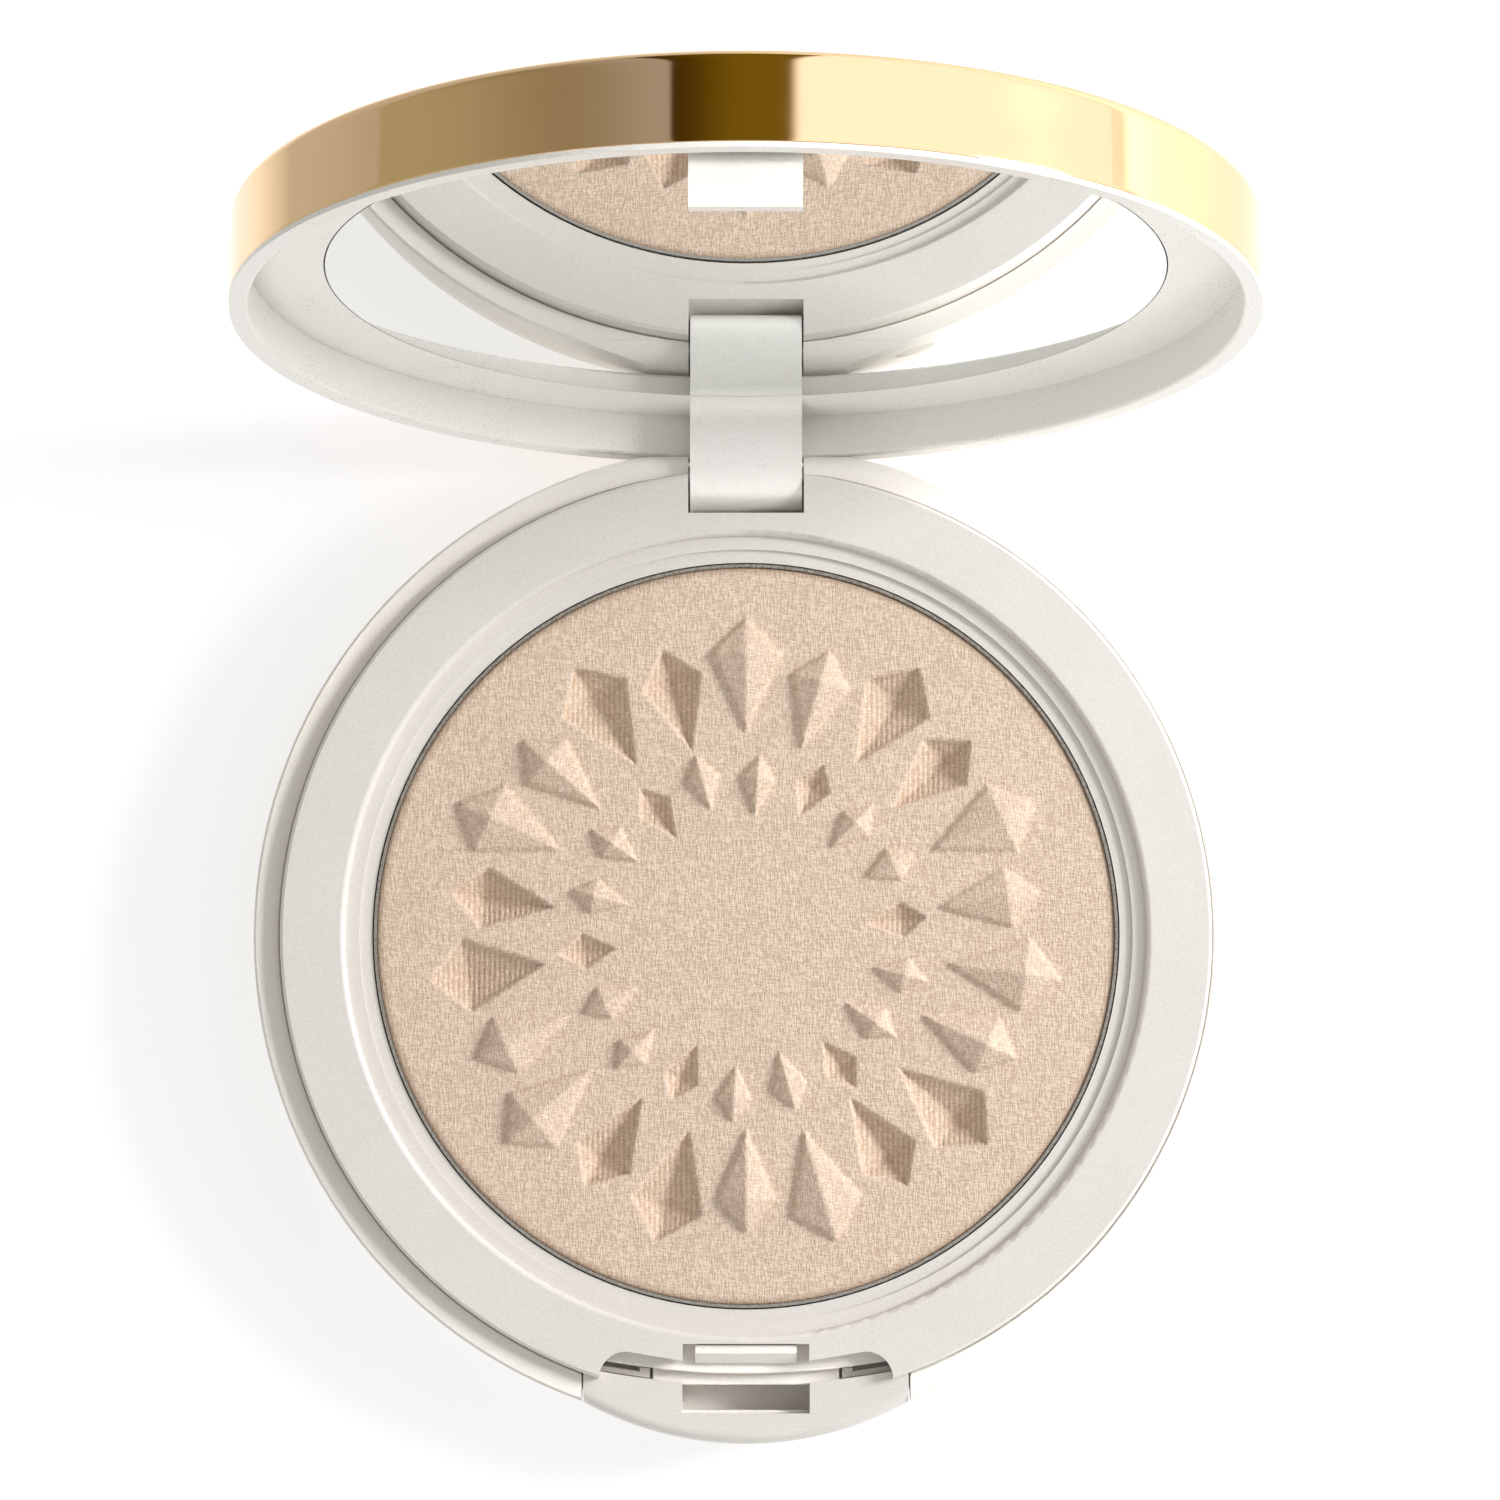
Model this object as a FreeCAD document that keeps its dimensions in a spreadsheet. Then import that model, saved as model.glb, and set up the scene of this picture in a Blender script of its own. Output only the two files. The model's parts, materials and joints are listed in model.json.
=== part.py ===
import FreeCAD, Part
import math
import os
import Sketcher

# A round pressed-powder compact with a mirror lid, in millimetres.
# The origin is the centre of the underside, +Z is up, the push button faces -Y and the hinge is at +Y.
# Pieces of the lid are drawn closed, then turned about the hinge to where the open lid rests.

doc = FreeCAD.newDocument("powder_compact")

# ---------------------------------------------------------------- sizes

# Sizes given as a formula keep their place when the case, the button or the hook is made larger.
SIZES = [
    # case
    ("case_radius", 39.5, "outside of the base and of the closed lid"),
    ("base_height", 9.0, "underside to the shoulder that the lid closes on"),
    ("bowl_radius", 7.5, "round of the base's side into its underside"),
    ("floor_wall", 1.6, "floor of the base"),
    ("side_wall", 1.8, "side wall of the base"),
    ("shelf_width", 1.85, "shelf that the plate drops on"),
    ("shelf_wall", 1.2, "thickness of that shelf"),
    ("edge_bevel", 0.2, "bevel on the shoulder's outer edge"),
    ("label_radius", "=case_radius - 15.5", "blank label under the base"),
    ("label_thickness", 0.15, "label and the recess it fills"),
    ("rib_radius", "=case_radius - 19.5", "ring that the powder well stands on"),
    ("rib_wall", 1.2, "thickness of that ring"),
    ("overrun", 1.0, "how far a cut runs on past the piece"),
    # plate and well
    ("plate_radius", "=case_radius - 2.15", "pearl plate round the powder"),
    ("plate_gap", 0.1, "gap round the plate"),
    ("plate_seat", 0.4, "how deep the plate is let into the shoulder"),
    ("plate_rise", 1.2, "top of the plate above the shoulder"),
    ("plate_bevel", 0.25, "bevel on the plate's outer edge"),
    ("mouth_radius", "=case_radius - 7.4", "inner edge of the plate"),
    ("mouth_round", 0.45, "round of that edge"),
    ("mouth_drop", 0.8, "plate down to the first step"),
    ("step_radius", "=mouth_radius - 1.1", "edge of the second step"),
    ("step_drop", 0.35, "height of the second step"),
    ("well_wall", 1.2, "side and floor of the well"),
    # tin and powder
    ("pan_radius", "=step_radius - 1.15", "outside of the metal tin"),
    ("pan_gap", 0.12, "tin to well"),
    ("pan_height", 5.0, "height of the tin"),
    ("pan_wall", 0.25, "thickness of the tin"),
    ("pan_rim_rise", 0.2, "rim of the tin above the shoulder"),
    ("glue_radius", "=rib_radius - 2", "disc of glue under the tin"),
    ("glue_thickness", 0.2, "glue under the tin and behind the mirror"),
    ("cake_below_rim", 0.15, "powder's flat surface below the tin's rim"),
    # hinge
    ("axis_y", "=case_radius - 2.5", "hinge axis behind the centre"),
    ("axis_drop", 1.75, "hinge axis below the shoulder"),
    ("barrel_step", 0.06, "shoulder down to the round barrel behind the hinge axis"),
    ("open_angle", 101.2, "how far the lid opens, in degrees"),
    ("pin_radius", 0.6, "steel hinge pin"),
    ("pin_length", 23.0, "length of the pin"),
    ("pin_slack", 0.04, "pin to lug, all round"),
    ("pin_end_gap", 0.2, "room past each end of the pin"),
    ("lug_width", 9.0, "hinge lug of the lid"),
    ("lug_side_gap", 0.15, "lug to pocket, each side"),
    ("lug_reach", 2.85, "hinge axis to the lug's front and tip"),
    ("lug_sweep_gap", 0.25, "lug to pocket as it turns"),
    ("lug_fillet", 1.5, "round from the lug into the bezel"),
    ("hinge_block_half", "=pin_length / 2 + 1.5", "half the width of the block that holds the pin"),
    ("hinge_block_front", "=case_radius - 7.7", "front of that block"),
    # lid
    ("parting_gap", 0.15, "closed lid to shoulder"),
    ("lid_height", 8.1, "lip to the crown of the cover"),
    ("lip_width", 1.5, "flat lip of the lid"),
    ("lip_height", 0.4, "pearl lip below the gold ring"),
    ("ring_wall", 0.6, "gold ring"),
    ("ring_gap", 0.05, "ring to frame"),
    ("ring_top", "=lid_height - cover_crown", "lip to the top of the gold ring"),
    ("ring_round", 1.0, "top edge of the gold ring"),
    ("ring_inner", "=case_radius - 2.9", "hole in the top of the gold ring"),
    ("bezel_depth", 3.5, "lip to the bezel and the mirror"),
    ("bezel_round", 0.3, "lip's inner edge"),
    ("web_wall", 1.1, "frame behind the mirror"),
    ("mirror_radius", "=case_radius - 7.3", "mirror"),
    ("mirror_gap", 0.12, "mirror to bezel"),
    ("mirror_thickness", 1.4, "mirror glass"),
    ("mirror_glue_radius", "=mirror_radius - 2.2", "tape disc behind the mirror"),
    ("cover_gap", 0.1, "cover plate to frame"),
    ("cover_crown", 0.5, "dome of the cover plate"),
    # latch
    ("button_half", 13.0, "half the width of the push button"),
    ("button_side_gap", 0.15, "button to case, each side"),
    ("button_front", "=case_radius + 1.2", "front of the button"),
    ("button_corner", "=case_radius - 2.15", "front corners of the button"),
    ("button_back", "=case_radius - 3.55", "back edge of the button in the middle"),
    ("back_curve", 65.0, "radius of that back edge"),
    ("button_plate", 1.2, "top of the button"),
    ("button_skirt", 1.0, "front wall of the button"),
    ("button_depth", 4.6, "height of the button"),
    ("button_round", 0.9, "top front edge of the button"),
    ("button_chin", 2.0, "bottom front edge of the button"),
    ("button_travel", 0.8, "push of the button"),
    ("button_slack", 0.1, "button to what it slides past"),
    ("button_cheek", 1.2, "side walls of the button"),
    ("notch_half", "=hook_half + 0.95", "half the width of the notch for the hook"),
    ("notch_front", "=case_radius - 1.25", "front of that notch"),
    ("keeper_half", "=notch_half + 2.3", "half the width of the keeper under the button"),
    ("keeper_wall", "=notch_front - 0.25", "front wall of the hook's hole in the keeper"),
    ("keeper_lip", 1.0, "height of the lip that the hook catches"),
    ("keeper_undercut", 0.3, "how far the hole widens below that lip"),
    ("shelf_half", "=button_half - 1.5", "half the width of the shelf behind the button"),
    ("slot_inner", "=keeper_half + 0.05", "inner end of the slots for the spring arms"),
    ("slot_depth", 1.9, "depth of those slots"),
    ("latch_block_half", "=button_half + 1.6", "half the width of the block round the latch"),
    ("latch_block_back", "=case_radius - 7.7", "back of that block"),
    ("opening_depth", 5.0, "height of the opening for the button"),
    ("arm_thickness", 0.5, "spring arms of the button"),
    ("arm_height", 1.4, "height of the arms"),
    ("arm_tip", "=slot_inner + 0.25", "free end of each arm from the middle"),
    ("arm_pad", 0.8, "length of the pad at that end"),
    ("hook_half", 4.15, "half the width of the hook"),
    ("hook_back", "=button_back + 0.1", "inner face of the hook"),
    ("hook_root", "=hook_back + 1", "outer face of the hook at its root"),
    ("hook_face", "=hook_root + 0.25", "outer face of the hook"),
    ("hook_barb", "=keeper_wall - 0.15", "tip of the barb"),
    ("hook_length", 3.75, "hook past the lip"),
    # clip that holds the plate down
    ("clip_half", 4.05, "half the width of the clip"),
    ("clip_back", "=case_radius - 6.7", "back of the clip"),
    ("clip_crest", "=clip_back + 0.65", "front of the clip's flat top"),
    ("clip_front", "=clip_back + 1.45", "foot of the clip's slope"),
    ("clip_rise", 0.8, "top of the clip above the shoulder"),
    ("window_half", "=clip_half + 1", "half the width of the window round the clip"),
    ("window_back", "=clip_back - 0.1", "back of that window"),
    ("scallop_half", "=button_half - 1.25", "half the width of the cut in the plate's front"),
    ("scallop_corner", "=case_radius - 4", "where the cut's round corners begin"),
    ("scallop_round", 2.2, "radius of those corners"),
    ("scallop_waist", "=case_radius - 5.45", "cut beside the window"),
]

sheet = doc.addObject("Spreadsheet::Sheet", "dim")
for row, (alias, value, meaning) in enumerate(SIZES, start=1):
    sheet.set(f"A{row}", meaning)
    sheet.set(f"B{row}", str(value))
    sheet.setAlias(f"B{row}", alias)
doc.recompute()

# Places that several pieces share, worked out from the sizes.
AXIS_Z = "(dim.base_height - dim.axis_drop)"
BARREL_RADIUS = "(dim.axis_drop - dim.barrel_step)"
LIP_Z = "(dim.base_height + dim.parting_gap)"
SEAT_Z = "(dim.base_height - dim.plate_seat)"
PLATE_Z = "(dim.base_height + dim.plate_rise)"
PAN_TOP = "(dim.base_height + dim.pan_rim_rise)"
PAN_FLOOR = f"({PAN_TOP} - dim.pan_height)"
WELL_FLOOR = f"({PAN_FLOOR} - dim.glue_thickness)"
WELL_UNDER = f"({WELL_FLOOR} - dim.well_wall)"
WELL_RADIUS = "(dim.pan_radius + dim.pan_gap)"
BEZEL_Z = f"({LIP_Z} + dim.bezel_depth)"
GLASS_BACK = f"({BEZEL_Z} + dim.mirror_thickness)"
MIRROR_BACK = f"({GLASS_BACK} + dim.glue_thickness)"
WEB_TOP = f"({MIRROR_BACK} + dim.web_wall)"
LID_INNER = "(dim.case_radius - dim.lip_width)"
FRAME_OUTER = "(dim.case_radius - dim.ring_wall - dim.ring_gap)"
RING_TOP = f"({LIP_Z} + dim.ring_top)"
RING_UNDER = f"({RING_TOP} - dim.ring_wall)"
FRAME_TOP = f"({RING_UNDER} - dim.ring_gap)"
COVER_SEAT = f"({FRAME_OUTER} - dim.ring_wall * 2)"
BACK_WALL = "(dim.button_back - dim.button_travel - dim.button_slack)"
SEAT_RADIUS = "(dim.plate_radius + dim.plate_gap)"
RAIL_Z = "(dim.base_height - dim.button_plate - dim.button_slack)"
ABOVE_PLATE = f"({PLATE_Z} + dim.overrun)"
PAST_CASE = "(dim.case_radius + dim.overrun * 3)"


def number(expression):
    """The value of an expression of the sheet's sizes."""
    found = sheet.evalExpression(expression)
    return float(getattr(found, "Value", found))


# ---------------------------------------------------------------- drawing helpers

def new_body(label):
    body = doc.addObject("PartDesign::Body", label)
    body.Label = label
    return body


def plane(body, role):
    for feature in body.Origin.OriginFeatures:
        if feature.Role == role:
            return feature
    raise ValueError(role)


def new_sketch(body, name, role, lift):
    """A sketch on one of the body's own planes, lifted off it by an expression."""
    sketch = body.newObject("Sketcher::SketchObject", name)
    sketch.AttachmentSupport = [(plane(body, role), "")]
    sketch.MapMode = "FlatFace"
    if lift:
        sketch.setExpression(".AttachmentOffset.Base.z", lift)
    return sketch


def tie(sketch, kind, items, expression):
    """A dimension whose value is an expression; a negative one is measured the other way round."""
    value = number(expression)
    if kind != "Radius" and value < 0:
        items = items[2:] + items[:2]
        expression = f"-({expression})"
        value = -value
    index = sketch.addConstraint(Sketcher.Constraint(kind, *items, value))
    sketch.setExpression(f"Constraints[{index}]", expression)


def pin_point(sketch, edge, end, across, up):
    """Holds a point of the outline at (across, up) from the origin."""
    for kind, expression, axis in (("DistanceX", across, -2), ("DistanceY", up, -1)):
        if expression == "0":
            sketch.addConstraint(Sketcher.Constraint("PointOnObject", edge, end, axis))
        else:
            tie(sketch, kind, (-1, 1, edge, end), expression)


def arc_between(start, stop, radius):
    """Arc from start to stop; a positive radius turns left, a negative one turns right."""
    chord = stop - start
    middle = (start + stop) * 0.5
    left = FreeCAD.Vector(-chord.y, chord.x, 0).normalize()
    height = math.sqrt(max(radius * radius - chord.Length ** 2 / 4, 0.0))
    centre = middle + left * (height if radius > 0 else -height)
    circle = Part.Circle(centre, FreeCAD.Vector(0, 0, 1), abs(radius))
    first = math.atan2(start.y - centre.y, start.x - centre.x)
    last = math.atan2(stop.y - centre.y, stop.x - centre.x)
    if radius < 0:
        first, last = last, first
    if last < first:
        last += 2 * math.pi
    return Part.ArcOfCircle(circle, first, last)


def outline(body, name, role, corners, lift=None):
    """A closed outline. Each corner is (across, up) in expressions, and a third item makes the edge
    to the next corner an arc: its radius, negative where the arc turns right."""
    sketch = new_sketch(body, name, role, lift)
    points = [FreeCAD.Vector(number(c[0]), number(c[1]), 0) for c in corners]
    ends = []
    for i, corner in enumerate(corners):
        start = points[i]
        stop = points[(i + 1) % len(points)]
        if len(corner) == 3:
            edge = sketch.addGeometry(arc_between(start, stop, number(corner[2])), False)
            ends.append((edge, 1, 2) if number(corner[2]) > 0 else (edge, 2, 1))
        else:
            edge = sketch.addGeometry(Part.LineSegment(start, stop), False)
            ends.append((edge, 1, 2))
    for i, corner in enumerate(corners):
        edge, first, _ = ends[i]
        before, _, last = ends[i - 1]
        sketch.addConstraint(Sketcher.Constraint("Coincident", before, last, edge, first))
        pin_point(sketch, edge, first, corner[0], corner[1])
        if len(corner) == 3:
            radius = corner[2] if number(corner[2]) > 0 else f"-({corner[2]})"
            tie(sketch, "Radius", (edge,), radius)
    return sketch


def circle(body, name, role, across, up, radius, lift=None):
    sketch = new_sketch(body, name, role, lift)
    centre = FreeCAD.Vector(number(across), number(up), 0)
    edge = sketch.addGeometry(Part.Circle(centre, FreeCAD.Vector(0, 0, 1), number(radius)), False)
    pin_point(sketch, edge, 3, across, up)
    tie(sketch, "Radius", (edge,), radius)
    return sketch


def turn(body, name, corners):
    """A ring or disc: the outline, drawn in radius and height, turned once round the Z axis."""
    sketch = outline(body, name + "_outline", "XZ_Plane", corners)
    feature = body.newObject("PartDesign::Revolution", name)
    feature.Profile = sketch
    feature.ReferenceAxis = (sketch, ["V_Axis"])
    feature.Angle = 360
    doc.recompute()
    return feature


def extrude(body, name, sketch, length, cut=False, both_ways=False):
    """A straight solid or cut. It rises from its sketch, a cut sinks, and both_ways is half each side."""
    feature = body.newObject("PartDesign::Pocket" if cut else "PartDesign::Pad", name)
    feature.Profile = sketch
    feature.Refine = False
    feature.setExpression("Length", length)
    if both_ways:
        feature.Midplane = True
    doc.recompute()
    return feature


def checked_cut(body, name, sketch, length, both_ways=False):
    """A cut that is sure to remove something."""
    before = body.Shape.Volume
    feature = extrude(body, name, sketch, length, cut=True, both_ways=both_ways)
    if not body.Shape.Volume < before:
        raise RuntimeError(f"{name} cuts nothing")
    return feature


def well_cut(body, name, corners, top, bottom):
    """An upright cut from the height top down to the height bottom."""
    sketch = outline(body, name + "_outline", "XY_Plane", corners, lift=top)
    return checked_cut(body, name, sketch, f"{top} - ({bottom})")


def cross_cut(body, name, corners, width):
    """A cut along X, centred, from an outline in Y and Z."""
    sketch = outline(body, name + "_outline", "YZ_Plane", corners)
    return checked_cut(body, name, sketch, width, both_ways=True)


def round_ring(body, name, rings, radius):
    """Rounds the full circles of the given (radius, height)."""
    base = body.Tip
    wanted = [(number(r), number(z)) for r, z in rings]
    picks = []
    for index, edge in enumerate(base.Shape.Edges, start=1):
        if not isinstance(edge.Curve, Part.Circle):
            continue
        centre = edge.Curve.Center
        if abs(centre.x) > 1e-6 or abs(centre.y) > 1e-6:
            continue
        for ring_radius, height in wanted:
            if abs(edge.Curve.Radius - ring_radius) < 1e-4 and abs(centre.z - height) < 1e-4:
                picks.append(f"Edge{index}")
    if not picks:
        raise RuntimeError(f"{name} finds no edge")
    feature = body.newObject("PartDesign::Fillet", name)
    feature.Base = (base, picks)
    feature.setExpression("Radius", radius)
    doc.recompute()
    return feature


def box_corners(x_low, x_high, y_low, y_high):
    return [(x_low, y_low), (x_high, y_low), (x_high, y_high), (x_low, y_high)]


# ---------------------------------------------------------------- base

SHELF_UNDER = f"({SEAT_Z} - dim.shelf_wall)"
# the rounds of the bowl end below the bevel and below the shelf
BOWL_ROUND = "min(dim.bowl_radius; dim.base_height - dim.edge_bevel - dim.side_wall / 2)"
INNER_ROUND = (f"min({BOWL_ROUND} - dim.floor_wall;"
               f" {SHELF_UNDER} - dim.floor_wall - dim.side_wall / 4)")


def button_front_radius(grow="0"):
    """Radius of the arc through the button's front corners and its front, both moved out by grow."""
    rise = "(dim.button_front - dim.button_corner)"
    return f"((dim.button_half ^ 2 + {rise} ^ 2) / (2 * {rise}) + {grow})"


def back_edge(middle, half):
    """Y of the button's curved back edge, half a width from the middle, for an edge at middle."""
    return f"-({middle} - dim.back_curve + sqrt(dim.back_curve ^ 2 - ({half}) ^ 2))"


def make_hollow():
    """The inside of the base, as a form to cut with: it leaves the blocks of the hinge and the latch."""
    body = new_body("hollow")
    shelf_inner = f"({SEAT_RADIUS} - dim.shelf_width)"
    cavity = "(dim.case_radius - dim.side_wall)"
    turn(body, "hollow_form", [
        ("0", "dim.floor_wall"),
        ("dim.rib_radius", "dim.floor_wall"),
        ("dim.rib_radius", WELL_UNDER),
        ("(dim.rib_radius + dim.rib_wall)", WELL_UNDER),
        ("(dim.rib_radius + dim.rib_wall)", "dim.floor_wall"),
        (f"({cavity} - {INNER_ROUND})", "dim.floor_wall", INNER_ROUND),
        (cavity, f"(dim.floor_wall + {INNER_ROUND})"),
        (cavity, SHELF_UNDER),
        (shelf_inner, SHELF_UNDER),
        (shelf_inner, ABOVE_PLATE),
        ("0", ABOVE_PLATE),
    ])
    for name, half, near, far in (
        ("hinge_block", "dim.hinge_block_half", "dim.hinge_block_front", "dim.case_radius"),
        ("latch_block", "dim.latch_block_half", "-dim.case_radius", "-dim.latch_block_back"),
    ):
        well_cut(body, name, box_corners(f"-{half}", half, near, far), ABOVE_PLATE, "0")
    return body


def make_base_shell():
    """Bowl-shaped case: shoulder ring, shelf for the plate, hinge block, latch block and clip."""
    body = new_body("base_shell")
    turn(body, "bowl", [
        ("0", "dim.label_thickness"),
        ("dim.label_radius", "dim.label_thickness"),
        ("dim.label_radius", "0"),
        (f"(dim.case_radius - {BOWL_ROUND})", "0", BOWL_ROUND),
        ("dim.case_radius", BOWL_ROUND),
        ("dim.case_radius", "(dim.base_height - dim.edge_bevel)"),
        ("(dim.case_radius - dim.edge_bevel)", "dim.base_height"),
        (f"({SEAT_RADIUS} + dim.edge_bevel / 2)", "dim.base_height"),
        (SEAT_RADIUS, "(dim.base_height - dim.edge_bevel / 2)"),
        (SEAT_RADIUS, SEAT_Z),
        ("0", SEAT_Z),
    ])
    hollow = body.newObject("PartDesign::Boolean", "hollow_cut")
    hollow.Type = "Cut"
    hollow.setObjects([make_hollow()])
    doc.recompute()
    make_hinge_seat(body)
    make_latch_seat(body)
    return body


def make_hinge_seat(body):
    """Pocket for the lug, barrel and stop wall behind the axis, and the bore of the pin."""
    reach = "(dim.lug_reach + dim.lug_sweep_gap)"
    back = "(dim.axis_drop + dim.lug_side_gap)"
    drop = f"sqrt({reach} ^ 2 - {back} ^ 2)"
    cross_cut(body, "lug_pocket", [
        (f"dim.axis_y - {reach}", AXIS_Z, reach),
        (f"dim.axis_y + {back}", f"{AXIS_Z} - {drop}"),
        (PAST_CASE, f"{AXIS_Z} - {drop}"),
        (PAST_CASE, ABOVE_PLATE),
        (f"dim.axis_y - {reach}", ABOVE_PLATE),
    ], "dim.lug_width + 2 * dim.lug_side_gap")

    # Behind the axis the rim is a barrel, and below it a wall that the open lid's lip rests against.
    lean = "(dim.open_angle - 90)"
    wall = "(dim.case_radius - dim.axis_y + dim.parting_gap * 3)"
    touch_y = f"(dim.axis_y + {BARREL_RADIUS} * cos({lean}))"
    touch_z = f"({AXIS_Z} - {BARREL_RADIUS} * sin({lean}))"
    foot_y = f"({touch_y} - {wall} * sin({lean}))"
    foot_z = f"({touch_z} - {wall} * cos({lean}))"
    cross_cut(body, "barrel_relief", [
        ("dim.axis_y", f"({AXIS_Z} + {BARREL_RADIUS})", f"-{BARREL_RADIUS}"),
        (touch_y, touch_z),
        (foot_y, foot_z),
        (PAST_CASE, f"({foot_z} - ({PAST_CASE} - {foot_y}) * tan({lean}))"),
        (PAST_CASE, ABOVE_PLATE),
        ("dim.axis_y", ABOVE_PLATE),
    ], "dim.case_radius")

    # The pin goes in from the +X side, and the bore ends just past its other end.
    sketch = circle(body, "pin_bore_outline", "YZ_Plane", "dim.axis_y", AXIS_Z, "dim.pin_radius",
                    lift="dim.case_radius")
    checked_cut(body, "pin_bore", sketch, "dim.case_radius + dim.pin_length / 2 + dim.pin_end_gap")


def make_latch_seat(body):
    """Opening for the button, keeper with the hook's hole, slots for the arms, and the plate's clip."""
    half = "(dim.button_half + dim.button_side_gap)"
    outside = f"-{PAST_CASE}"
    floor = "(dim.base_height - dim.opening_depth)"
    # the button's top slides on a rail, up to a curved wall
    well_cut(body, "button_top", [
        (f"-{half}", outside),
        (half, outside),
        (half, back_edge(BACK_WALL, half), "-dim.back_curve"),
        (f"-{half}", back_edge(BACK_WALL, half)),
    ], ABOVE_PLATE, RAIL_Z)

    # the button's front wall and cheeks pass in front of and beside the keeper
    skirt_in = "(dim.button_front - dim.button_skirt)"
    keeper_front = f"({skirt_in} - dim.button_travel - 1.5 * dim.button_slack)"
    curve = button_front_radius("-dim.button_skirt")
    keeper_corner = f"-({keeper_front} - {curve} + sqrt({curve} ^ 2 - dim.keeper_half ^ 2))"
    wall_half = back_edge(BACK_WALL, half)
    wall_shelf = back_edge(BACK_WALL, "dim.shelf_half")
    shelf_outer = back_edge("dim.button_back", "dim.shelf_half")
    shelf_inner = back_edge("dim.button_back", "dim.keeper_half")
    room = [
        (half, outside),
        (half, wall_half, "-dim.back_curve"),
        ("dim.shelf_half", wall_shelf),
        ("dim.shelf_half", shelf_outer, "-dim.back_curve"),
        ("dim.keeper_half", shelf_inner),
        ("dim.keeper_half", keeper_corner, f"-{curve}"),
        ("-dim.keeper_half", keeper_corner),
        ("-dim.keeper_half", shelf_inner, "-dim.back_curve"),
        ("-dim.shelf_half", shelf_outer),
        ("-dim.shelf_half", wall_shelf, "-dim.back_curve"),
        (f"-{half}", wall_half),
        (f"-{half}", outside),
    ]
    well_cut(body, "button_room", room, RAIL_Z, floor)

    # the hook's hole, wider below the lip that it catches
    for name, front, top in (
        ("hook_hole", "dim.keeper_wall", RAIL_Z),
        ("hook_undercut", "(dim.keeper_wall + dim.keeper_undercut)", f"({RAIL_Z} - dim.keeper_lip)"),
    ):
        corners = box_corners("-dim.notch_half", "dim.notch_half", f"-{front}", "-dim.button_back")
        well_cut(body, name, corners, top, floor)

    # slots for the spring arms
    slot_inner = back_edge("dim.button_back", "dim.slot_inner")
    wall_inner = back_edge(BACK_WALL, "dim.slot_inner")
    well_cut(body, "right_slot", [
        ("dim.slot_inner", slot_inner, "dim.back_curve"),
        ("dim.shelf_half", shelf_outer),
        ("dim.shelf_half", wall_shelf, "-dim.back_curve"),
        ("dim.slot_inner", wall_inner),
    ], RAIL_Z, f"{RAIL_Z} - dim.slot_depth")
    well_cut(body, "left_slot", [
        ("-dim.shelf_half", shelf_outer, "dim.back_curve"),
        ("-dim.slot_inner", slot_inner),
        ("-dim.slot_inner", wall_inner, "-dim.back_curve"),
        ("-dim.shelf_half", wall_shelf),
    ], RAIL_Z, f"{RAIL_Z} - dim.slot_depth")

    sketch = outline(body, "clip_outline", "YZ_Plane", [
        ("-dim.clip_front", f"{SEAT_Z} - dim.plate_seat / 2"),
        ("-dim.clip_back", f"{SEAT_Z} - dim.plate_seat / 2"),
        ("-dim.clip_back", "dim.base_height + dim.clip_rise"),
        ("-dim.clip_crest", "dim.base_height + dim.clip_rise"),
        ("-dim.clip_front", "dim.base_height"),
    ])
    extrude(body, "clip", sketch, "2 * dim.clip_half", both_ways=True)


def make_pan_frame():
    """Pearl plate with stepped mouth and the well that holds the tin."""
    body = new_body("pan_frame")
    step_z = f"({PLATE_Z} - dim.mouth_drop)"
    ledge_z = f"({step_z} - dim.step_drop)"
    outer_well = f"({WELL_RADIUS} + dim.well_wall)"
    turn(body, "plate", [
        ("0", WELL_UNDER),
        (outer_well, WELL_UNDER),
        (outer_well, SEAT_Z),
        ("dim.plate_radius", SEAT_Z),
        ("dim.plate_radius", f"({PLATE_Z} - dim.plate_bevel)"),
        ("(dim.plate_radius - dim.plate_bevel)", PLATE_Z),
        ("dim.mouth_radius", PLATE_Z),
        ("dim.mouth_radius", step_z),
        ("dim.step_radius", step_z),
        ("dim.step_radius", ledge_z),
        (WELL_RADIUS, ledge_z),
        (WELL_RADIUS, WELL_FLOOR),
        ("0", WELL_FLOOR),
    ])
    round_ring(body, "mouth_edge", [("dim.mouth_radius", PLATE_Z)], "dim.mouth_round")

    reach = "(dim.lug_reach + dim.lug_sweep_gap)"
    pocket = "(dim.lug_width / 2 + dim.lug_side_gap)"
    corners = box_corners(f"-{pocket}", pocket, f"dim.axis_y - {reach}", "dim.case_radius")
    well_cut(body, "lug_cut", corners, ABOVE_PLATE, f"{SEAT_Z} - dim.overrun")

    right = [
        ("dim.scallop_half", "-dim.case_radius"),
        ("dim.scallop_half", "-dim.scallop_corner", "dim.scallop_round"),
        ("dim.scallop_half - dim.scallop_round", "-(dim.scallop_corner - dim.scallop_round)"),
        ("dim.window_half", "-dim.scallop_waist"),
        ("dim.window_half", "-dim.window_back"),
    ]
    left = [(f"-({x[0]})", x[1]) for x in reversed(right)]
    left[2] = left[2] + ("dim.scallop_round",)
    well_cut(body, "scallop", right + left, ABOVE_PLATE, f"{SEAT_Z} - dim.overrun")

    # room under the plate for the button's top as it is pushed in
    half = "(dim.button_half + 2 * dim.button_side_gap)"
    back = f"({BACK_WALL} - dim.back_curve + sqrt(dim.back_curve ^ 2 - {half} ^ 2) - dim.button_slack)"
    well_cut(body, "button_relief", box_corners(f"-{half}", half, "-dim.case_radius", f"-{back}"),
             "dim.base_height + dim.button_slack", f"{SEAT_Z} - dim.overrun")
    return body


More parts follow.
